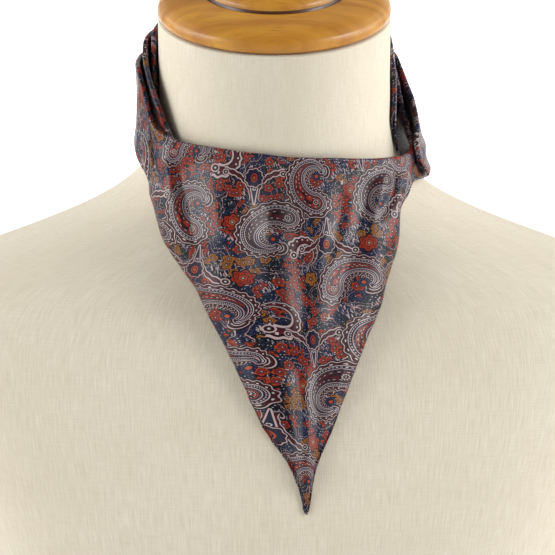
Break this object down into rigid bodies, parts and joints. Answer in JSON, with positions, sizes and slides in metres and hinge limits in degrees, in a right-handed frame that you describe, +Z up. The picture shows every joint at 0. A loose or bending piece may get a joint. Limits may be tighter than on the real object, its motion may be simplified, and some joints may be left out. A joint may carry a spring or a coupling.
{
  "type": "silk cravat on a dress form",
  "caption": "Pleated silk neck scarf tied cravat fashion, its wide end spread over the throat to a point, worn on a linen dress form with a turned wooden neck cap.",
  "frame": {"origin": "centre of the dress form's flat base, under the middle of the whole part", "axes": "+Z up, -Y the way the form faces, +X to the right as seen from the front"},
  "size_m": [0.4252, 0.2329, 0.5271],
  "materials": {
    "silk": "soft sheen, woven paisley",
    "linen": "matte, fine plain weave",
    "cap_wood": "clear gloss lacquer"
  },
  "bodies": {
    "root": {"front_blade": "silk", "under_blade": "silk", "knot": "silk", "band_inner": "silk", "band_middle": "silk", "band_outer": "silk", "form_body": "linen", "form_cap": "cap_wood"}
  },
  "joints": []
}
